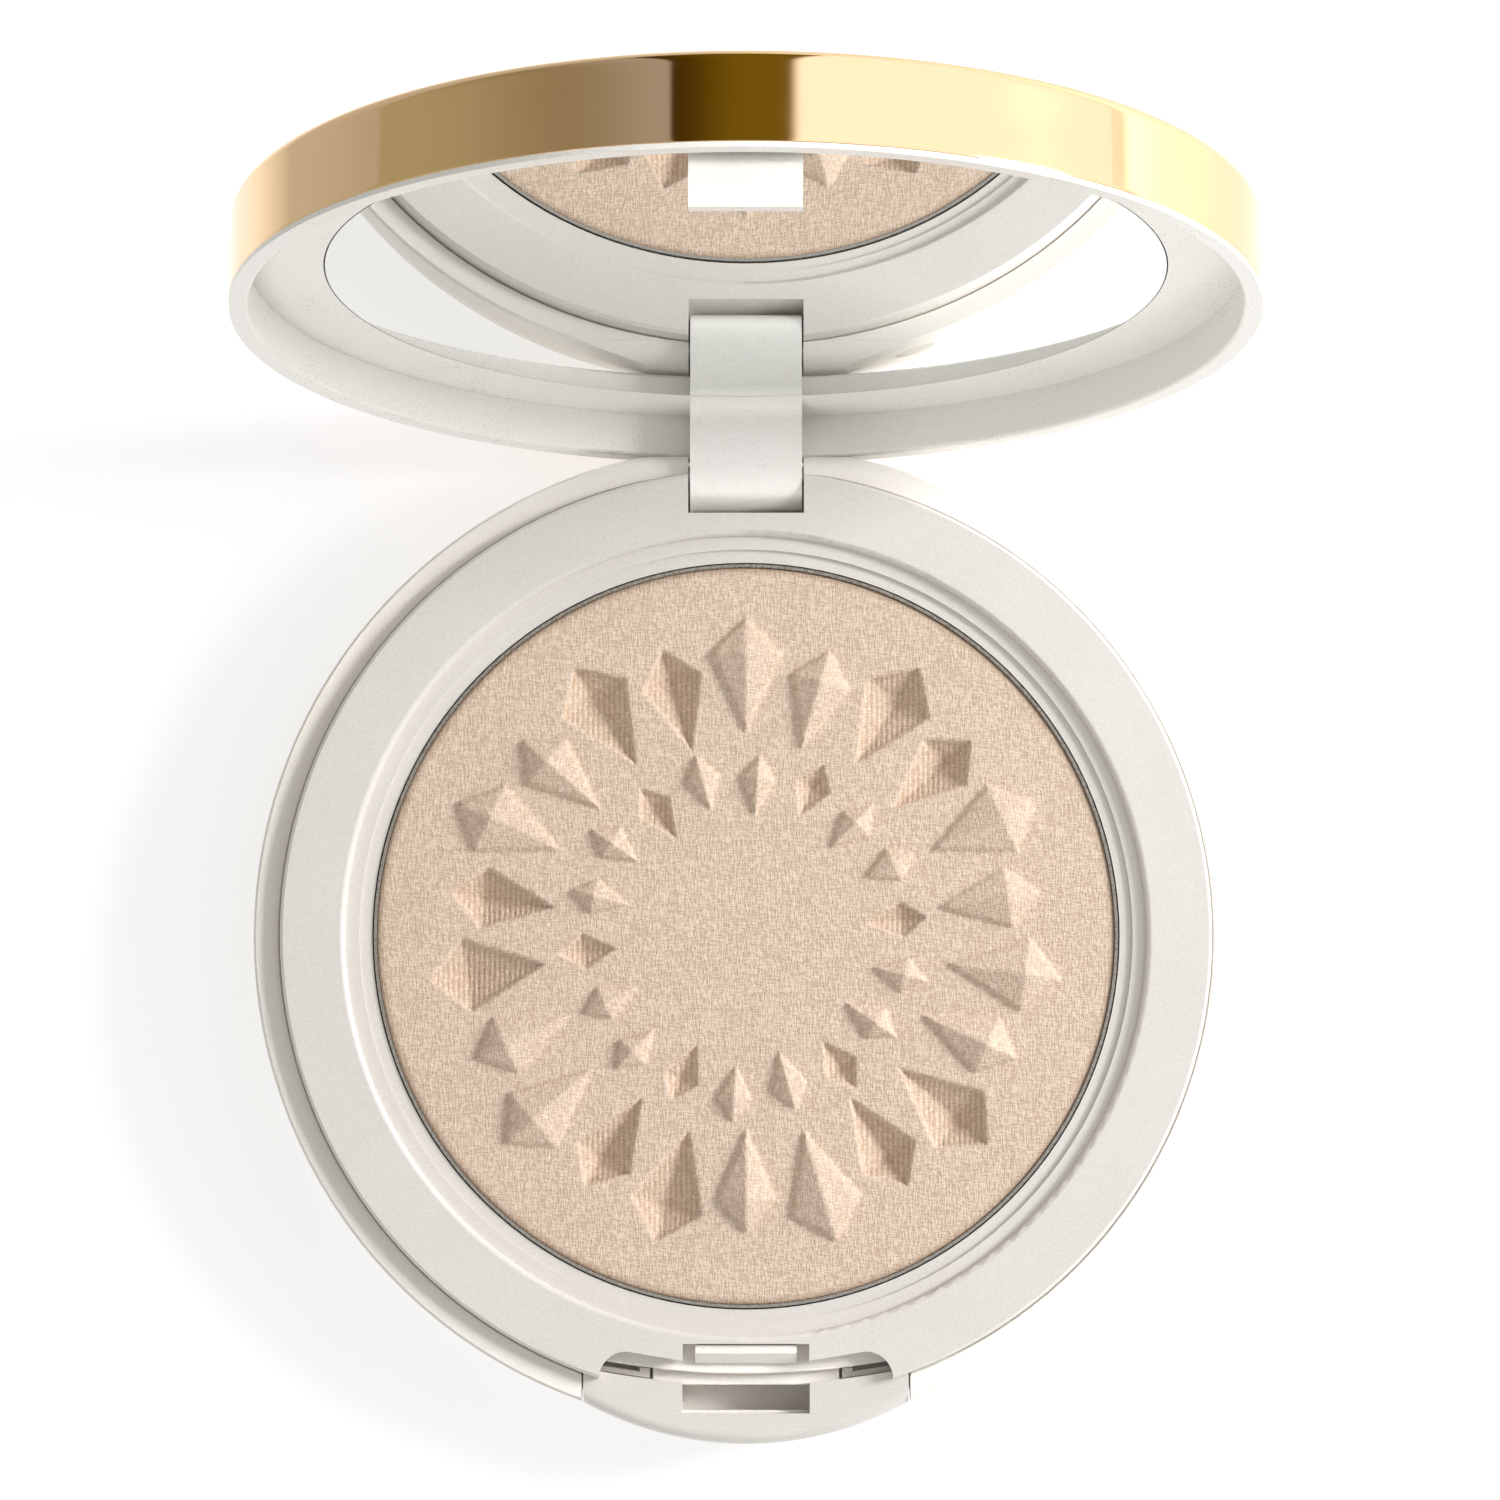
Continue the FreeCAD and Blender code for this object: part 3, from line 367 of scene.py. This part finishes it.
# %% Helpers for materials
class Finish:
    """A material with one Principled shader and the patterns that feed it."""

    def __init__(self, name, **sockets):
        self.material = bpy.data.materials.new(name)
        self.material.use_nodes = True
        self.tree = self.material.node_tree
        self.shader = self.tree.nodes["Principled BSDF"]
        for socket, value in sockets.items():
            self.shader.inputs[socket.replace("_", " ")].default_value = value
        self.place = self.node("ShaderNodeTexCoord").outputs["Object"]

    def node(self, kind, links=None, **settings):
        """A new node, with its inputs linked or set."""
        made = self.tree.nodes.new(kind)
        for key, value in settings.items():
            setattr(made, key, value)
        for key, value in (links or {}).items():
            if isinstance(value, bpy.types.NodeSocket):
                self.tree.links.new(value, made.inputs[key])
            else:
                made.inputs[key].default_value = value
        return made

    def stretched(self, scale):
        """Object coordinates stretched by a factor along each axis."""
        return self.node("ShaderNodeMapping", {"Vector": self.place, "Scale": scale}).outputs[0]

    def noise(self, grain, detail=2.0, rough=0.5, place=None):
        """Noise whose grains are about this many millimetres wide."""
        links = {"Vector": place or self.place, "Scale": 1 / (grain * MM), "Detail": detail,
                 "Roughness": rough}
        return self.node("ShaderNodeTexNoise", links).outputs["Fac"]

    def spread(self, value, low, high, from_low=0.3, from_high=0.7):
        """Takes a pattern from one range to another."""
        links = {"Value": value, "From Min": from_low, "From Max": from_high,
                 "To Min": low, "To Max": high}
        return self.node("ShaderNodeMapRange", links).outputs[0]

    def sum(self, first, second, kind="ADD"):
        """Two patterns added up, or taken together in another way."""
        return self.node("ShaderNodeMath", {0: first, 1: second}, operation=kind).outputs[0]

    def blend(self, share, first, second):
        """A colour between two, by a pattern."""
        mix = self.node("ShaderNodeMix", data_type="RGBA")
        self.tree.links.new(share, mix.inputs["Factor"])
        for socket, value in ((mix.inputs[6], first), (mix.inputs[7], second)):
            if isinstance(value, bpy.types.NodeSocket):
                self.tree.links.new(value, socket)
            else:
                socket.default_value = (*value, 1)
        return mix.outputs[2]

    def feed(self, socket, value):
        """Leads a pattern into the shader."""
        self.tree.links.new(value, self.shader.inputs[socket])

    def bump(self, height, distance, strength=1.0, under=None):
        """Small relief of this many millimetres."""
        links = {"Height": height, "Distance": distance * MM, "Strength": strength}
        if under is not None:
            links["Normal"] = under
        return self.node("ShaderNodeBump", links).outputs["Normal"]


def dress(finish, *names):
    """Puts a finish on CAD pieces or new pieces by name."""
    for name in names:
        piece = bpy.data.objects[name]
        if not piece.material_slots:
            piece.data.materials.append(finish.material)
        for material_slot in piece.material_slots:
            material_slot.material = finish.material
    print(finish.material.name, "on", ", ".join(names))


# %% [markdown]
# Pearl plastic
#
# The case is moulded in cream plastic with fine pearl flakes. The flakes shift the colour a
# little from grain to grain, the mould leaves a faint orange-peel relief, and a thin clear coat
# gives the soft sheen. The roughness wanders over centimetres, as handled plastic does.

# %% Pearl plastic for the case, the plate and the lid
def pearl(name, deep, light, roughness):
    """Pearl plastic between two colours, with flakes, slow clouds and orange peel."""
    finish = Finish(name, Coat_Weight=0.25, Coat_Roughness=0.12, Specular_IOR_Level=0.5)
    flakes = finish.noise(0.18, detail=1.0)
    cloud = finish.noise(9.0, detail=3.0)
    share = finish.sum(finish.spread(flakes, 0.15, 0.85), finish.spread(cloud, -0.12, 0.12))
    finish.feed("Base Color", finish.blend(share, deep, light))
    grain = finish.sum(finish.spread(cloud, -0.03, 0.03), finish.spread(flakes, -0.04, 0.04))
    finish.feed("Roughness", finish.sum(grain, roughness))
    peel = finish.bump(finish.noise(1.1, detail=2.0), 0.012, 0.35)
    finish.feed("Normal", finish.bump(flakes, 0.004, 0.3, under=peel))
    return finish


CREAM_DEEP, CREAM_LIGHT = (0.70, 0.665, 0.615), (0.79, 0.755, 0.70)
case_pearl = pearl("case_pearl", CREAM_DEEP, CREAM_LIGHT, 0.34)
plate_pearl = pearl("plate_pearl", CREAM_DEEP, CREAM_LIGHT, 0.36)
lid_pearl = pearl("lid_pearl", (0.71, 0.695, 0.65), (0.80, 0.785, 0.735), 0.32)
dress(case_pearl, "base_shell", "push_button", "button_arm_left", "button_arm_right",
      "spring_arm_left", "spring_arm_right")
dress(plate_pearl, "pan_frame")
dress(lid_pearl, "lid_frame", "lid_cover")

# %% [markdown]
# Gold ring
#
# The ring is a plated, mirror-polished band. Polished metal shows hardly any pattern of its own:
# what shows is the studio. Only a faint haze and a slow waviness keep it from looking like an
# ideal mirror.

# %% Plated gold
gold = Finish("gold", Metallic=1.0)
haze = gold.noise(6.0, detail=4.0)
gold.feed("Base Color", gold.blend(haze, (0.90, 0.62, 0.33), (0.94, 0.67, 0.38)))
gold.feed("Roughness", gold.spread(haze, 0.045, 0.085))
gold.feed("Normal", gold.bump(gold.noise(14.0, detail=1.0), 0.02, 0.2))
dress(gold, "gold_ring", "lid_ring")

# %% [markdown]
# Mirror
#
# Silvered glass reflects nearly everything. A few soft smears in its roughness show that it is a
# real surface.

# %% Silvered glass
glass = Finish("mirror", Metallic=1.0)
smears = glass.noise(12.0, detail=3.0)
glass.feed("Base Color", glass.blend(smears, (0.90, 0.915, 0.91), (0.94, 0.95, 0.945)))
glass.feed("Roughness", glass.spread(smears, 0.0, 0.02, 0.5, 0.8))
dress(glass, "mirror")

# %% [markdown]
# Tin, pin, glue and label
#
# The tin is drawn aluminium with fine bands round its wall, the pin is drawn wire with scratches
# along it, the glue is milky and lumpy, and the label is plain paper.

# %% Drawn metals
tin = Finish("tin", Metallic=1.0)
rubbed = tin.noise(0.25, detail=3.0, place=tin.stretched((1, 1, 6)))
tin.feed("Base Color", tin.blend(rubbed, (0.42, 0.40, 0.37), (0.66, 0.63, 0.59)))
tin.feed("Roughness", tin.spread(rubbed, 0.22, 0.4))
tin.feed("Normal", tin.bump(rubbed, 0.01, 0.4))
dress(tin, "powder_pan")

steel = Finish("pin_steel", Metallic=1.0)
drawn = steel.noise(0.08, detail=2.0, place=steel.stretched((0.05, 1, 1)))
steel.feed("Base Color", steel.blend(drawn, (0.46, 0.46, 0.47), (0.66, 0.66, 0.67)))
steel.feed("Roughness", steel.spread(drawn, 0.25, 0.42))
steel.feed("Normal", steel.bump(drawn, 0.005, 0.5))
dress(steel, "hinge_pin")

# %% Glue and paper
glue = Finish("glue", Coat_Weight=0.1)
lumps = glue.noise(1.6, detail=3.0)
glue.feed("Base Color", glue.blend(lumps, (0.62, 0.61, 0.57), (0.74, 0.73, 0.70)))
glue.feed("Roughness", glue.spread(lumps, 0.45, 0.65))
glue.feed("Normal", glue.bump(lumps, 0.05, 0.4))
dress(glue, "pan_glue", "mirror_tape")

paper = Finish("label")
fibres = paper.noise(0.35, detail=5.0, rough=0.7)
paper.feed("Base Color", paper.blend(fibres, (0.78, 0.775, 0.755), (0.88, 0.88, 0.865)))
paper.feed("Roughness", paper.spread(fibres, 0.62, 0.78))
paper.feed("Normal", paper.bump(fibres, 0.01, 0.3))
dress(paper, "underside_label")

# %% [markdown]
# Pressed powder
#
# The powder is pressed through a fine cloth, which leaves threads running both ways. Two noises,
# one drawn out along each direction, give threads that start and stop as real ones do. Grains
# lie over them, and a few shimmer grains get a painted highlight: near-white specks stand in for
# their glints. In the sunken facets the threads stand up as a hatch, whose bands also carry
# painted shade, a darker colour in their grooves.

# %% Threads, grains and hatch
powder = Finish("powder", Specular_IOR_Level=0.25)
THREAD = 0.12
HATCH_PITCH = 0.42
warp = powder.noise(THREAD, detail=0.0, place=powder.stretched((1, 0.22, 0.22)))
weft = powder.noise(THREAD, detail=0.0, place=powder.stretched((0.22, 1, 0.22)))
threads = powder.sum(powder.spread(warp, 0, 0.5, 0.33, 0.67),
                     powder.spread(weft, 0, 0.5, 0.33, 0.67))
grains = powder.noise(0.1, detail=2.0, rough=0.6)
hatch_scale = 2 / (HATCH_PITCH * MM) / (2 * np.pi)
hatch_wave = powder.node("ShaderNodeTexWave", {"Vector": powder.place, "Scale": hatch_scale,
                                               "Distortion": 0.6, "Detail": 1.0},
                         bands_direction="X")
sunken_facets = powder.node("ShaderNodeAttribute", attribute_name="sunken").outputs["Fac"]
hatch = powder.sum(hatch_wave.outputs["Fac"], sunken_facets, "MULTIPLY")
weave = powder.sum(powder.sum(threads, grains), hatch)
print("threads", THREAD, "mm wide, hatch every", HATCH_PITCH, "mm")

# %% Powder finish
shares = powder.sum(powder.spread(threads, 0.0, 0.6, 0.1, 0.9), powder.spread(grains, 0.0, 0.4))
# painted shade: the hatch bands in the sunken facets are also darkened in colour, as shade in their
# grooves
shares = powder.sum(shares, powder.spread(hatch, 0.0, 0.45, 0.25, 1.0), "SUBTRACT")
beige = powder.blend(shares, (0.56, 0.405, 0.285), (0.865, 0.715, 0.575))
# painted highlight: the shimmer grains are real, but their glints are painted in as near-white colour
glint_cells = powder.node("ShaderNodeTexVoronoi", {"Vector": powder.place, "Scale": 1 / (0.11 * MM)})
painted_glints = powder.spread(glint_cells.outputs["Color"], 0.0, 0.55, 0.9, 0.96)
flat_place = powder.node("ShaderNodeVectorMath", {0: powder.place, 1: (1, 1, 0)},
                         operation="MULTIPLY").outputs[0]
from_middle = powder.node("ShaderNodeVectorMath", {0: flat_place},
                          operation="LENGTH").outputs["Value"]
# painted shade: the last 0.7 mm of the powder's rim, where it meets the tin, is darkened to brown
painted_rim_shade = powder.spread(from_middle, 0.0, 0.6, (powder_radius - 0.7) * MM, powder_radius * MM)
caked = powder.blend(painted_glints, beige, (1.0, 0.93, 0.80))
powder.feed("Base Color", powder.blend(painted_rim_shade, caked, (0.30, 0.19, 0.11)))
powder.feed("Roughness", powder.spread(grains, 0.62, 0.9))
powder.feed("Normal", powder.bump(weave, 0.06, 0.85))
dress(powder, "pressed_powder")

# %% [markdown]
# Table
#
# The table is a wide pale sheet with painted light: it glows, though it is no lamp, so that it
# stays white round the object and the shadows cast on it fade. Outside a painted pool of light
# round the compact the sheet is darker, and it glows less on the left than on the right, which the
# gold ring mirrors.

# %% Table
TABLE_HALF = 2.0
TABLE_PAINTED_GLOW = 0.57
table_mesh = bpy.data.meshes.new("table")
table_mesh.from_pydata([(-TABLE_HALF, -TABLE_HALF, 0), (TABLE_HALF, -TABLE_HALF, 0),
                        (TABLE_HALF, TABLE_HALF, 0), (-TABLE_HALF, TABLE_HALF, 0)], [], [(0, 1, 2, 3)])
table = bpy.data.objects.new("table", table_mesh)
bpy.context.scene.collection.objects.link(table)
sheet = Finish("table", Roughness=0.8)
sheet.shader.inputs["Emission Color"].default_value = (1, 1, 1, 1)
distance = sheet.node("ShaderNodeVectorMath", {0: sheet.place}, operation="LENGTH").outputs["Value"]
# painted light: a lighter pool round the compact, and a glow that is no lamp, weaker on the left
painted_light_pool = sheet.spread(distance, 0.0, 1.0, 0.10, 0.15)
sheet.feed("Base Color", sheet.blend(painted_light_pool, (0.57,) * 3, (0.44,) * 3))
sideways = sheet.node("ShaderNodeSeparateXYZ", {0: sheet.place}).outputs["X"]
painted_side_glow = sheet.spread(sideways, -0.40, 0.25, -0.08, 0.12)
sheet.feed("Emission Strength", sheet.sum(sheet.sum(painted_light_pool, painted_side_glow, "MULTIPLY"), TABLE_PAINTED_GLOW))
dress(sheet, "table")

# %% [markdown]
# The room
#
# The studio is the world: a bright wall on the right, a dimmer one on the left and a dark gap
# overhead, which the gold ring mirrors in its middle, and an even grey in front. The walls are
# fixed in the room, so the reflections change as the lid turns.

# %% The room's light, by direction
world = bpy.data.worlds.new("studio")
bpy.context.scene.world = world
world.use_nodes = True
room = world.node_tree
background = room.nodes["Background"]
direction = room.nodes.new("ShaderNodeTexCoord").outputs["Generated"]
axes = room.nodes.new("ShaderNodeSeparateXYZ")
room.links.new(direction, axes.inputs[0])


def ramp(value, stops):
    """A colour of light that follows a value, through stops of (value, colour)."""
    made = room.nodes.new("ShaderNodeValToRGB")
    made.color_ramp.interpolation = "EASE"
    for index, (place, colour) in enumerate(stops):
        element = made.color_ramp.elements[index] if index < 2 else made.color_ramp.elements.new(place)
        element.position = place
        element.color = (*colour, 1)
    room.links.new(value, made.inputs[0])
    return made.outputs[0]


def share_along(axis):
    """How far a direction points along an axis, from 0 against it to 1 along it."""
    made = room.nodes.new("ShaderNodeMapRange")
    made.inputs["From Min"].default_value = -1
    made.inputs["From Max"].default_value = 1
    room.links.new(axes.outputs[axis], made.inputs["Value"])
    return made.outputs[0]


# %% Walls, gap and front
WARM_WALL = (0.44, 0.43, 0.34)
GREY_WALL = (0.31, 0.285, 0.235)
COOL_WALL = (0.41, 0.41, 0.46)
DARK_GAP = (0.06, 0.035, 0.001)
LAMP_GAP = (0.18, 0.125, 0.008)
WHITE_WALL = (1.40, 1.38, 1.55)
FRONT_WALL = (0.67, 0.67, 0.67)
walls = ramp(share_along("X"), [
    (0.0, WARM_WALL), (0.20, GREY_WALL), (0.365, COOL_WALL), (0.37, DARK_GAP),
    (0.50, LAMP_GAP), (0.575, LAMP_GAP), (0.60, WHITE_WALL), (1.0, WHITE_WALL)])
front_share = ramp(share_along("Y"), [(0.0, (1, 1, 1)), (0.47, (1, 1, 1)), (0.58, (0, 0, 0))])
mix = room.nodes.new("ShaderNodeMix")
mix.data_type = "RGBA"
room.links.new(front_share, mix.inputs["Factor"])
room.links.new(walls, mix.inputs[6])
mix.inputs[7].default_value = (*FRONT_WALL, 1)
room.links.new(mix.outputs[2], background.inputs["Color"])
print("walls:", len(world.node_tree.nodes), "nodes")

# %% [markdown]
# Lamps
#
# A large soft lamp from the right gives the facets their light and shade. A second lamp in front
# lights only the inside of the lid, by light linking, so that the button's rounded edge stays
# darker than its top. A third, from the left, lights only the case, whose shoulder would
# otherwise lie in the plate's shade there.

# %% Soft lamps
def soft_lamp(name, place, size, power):
    """A square lamp that looks at the middle of the object."""
    data = bpy.data.lights.new(name, "AREA")
    data.shape = "SQUARE"
    data.size = size
    data.energy = power
    lamp = bpy.data.objects.new(name, data)
    bpy.context.scene.collection.objects.link(lamp)
    lamp.location = place
    lamp.rotation_euler = Vector(place).to_track_quat("Z", "Y").to_euler()
    lamp.visible_camera = False
    print(name, "at", place, "with", power, "W")
    return lamp


def light_only(lamp, *pieces):
    """Keeps a lamp's light to these pieces."""
    lit = bpy.data.collections.new(lamp.name + "_pieces")
    for piece in pieces:
        lit.objects.link(piece)
    lamp.light_linking.receiver_collection = lit


soft_lamp("key_lamp", (0.60, 0.16, 0.36), 0.22, 4.2)
lid_lamp = soft_lamp("lid_lamp", (-0.25, -0.65, 0.36), 0.4, 1.9)
shoulder_lamp = soft_lamp("shoulder_lamp", (-0.60, 0.05, 0.28), 0.3, 0.35)
light_only(lid_lamp, nodes["lid_frame"], nodes["mirror"], gold_ring)
light_only(shoulder_lamp, nodes["base_shell"])
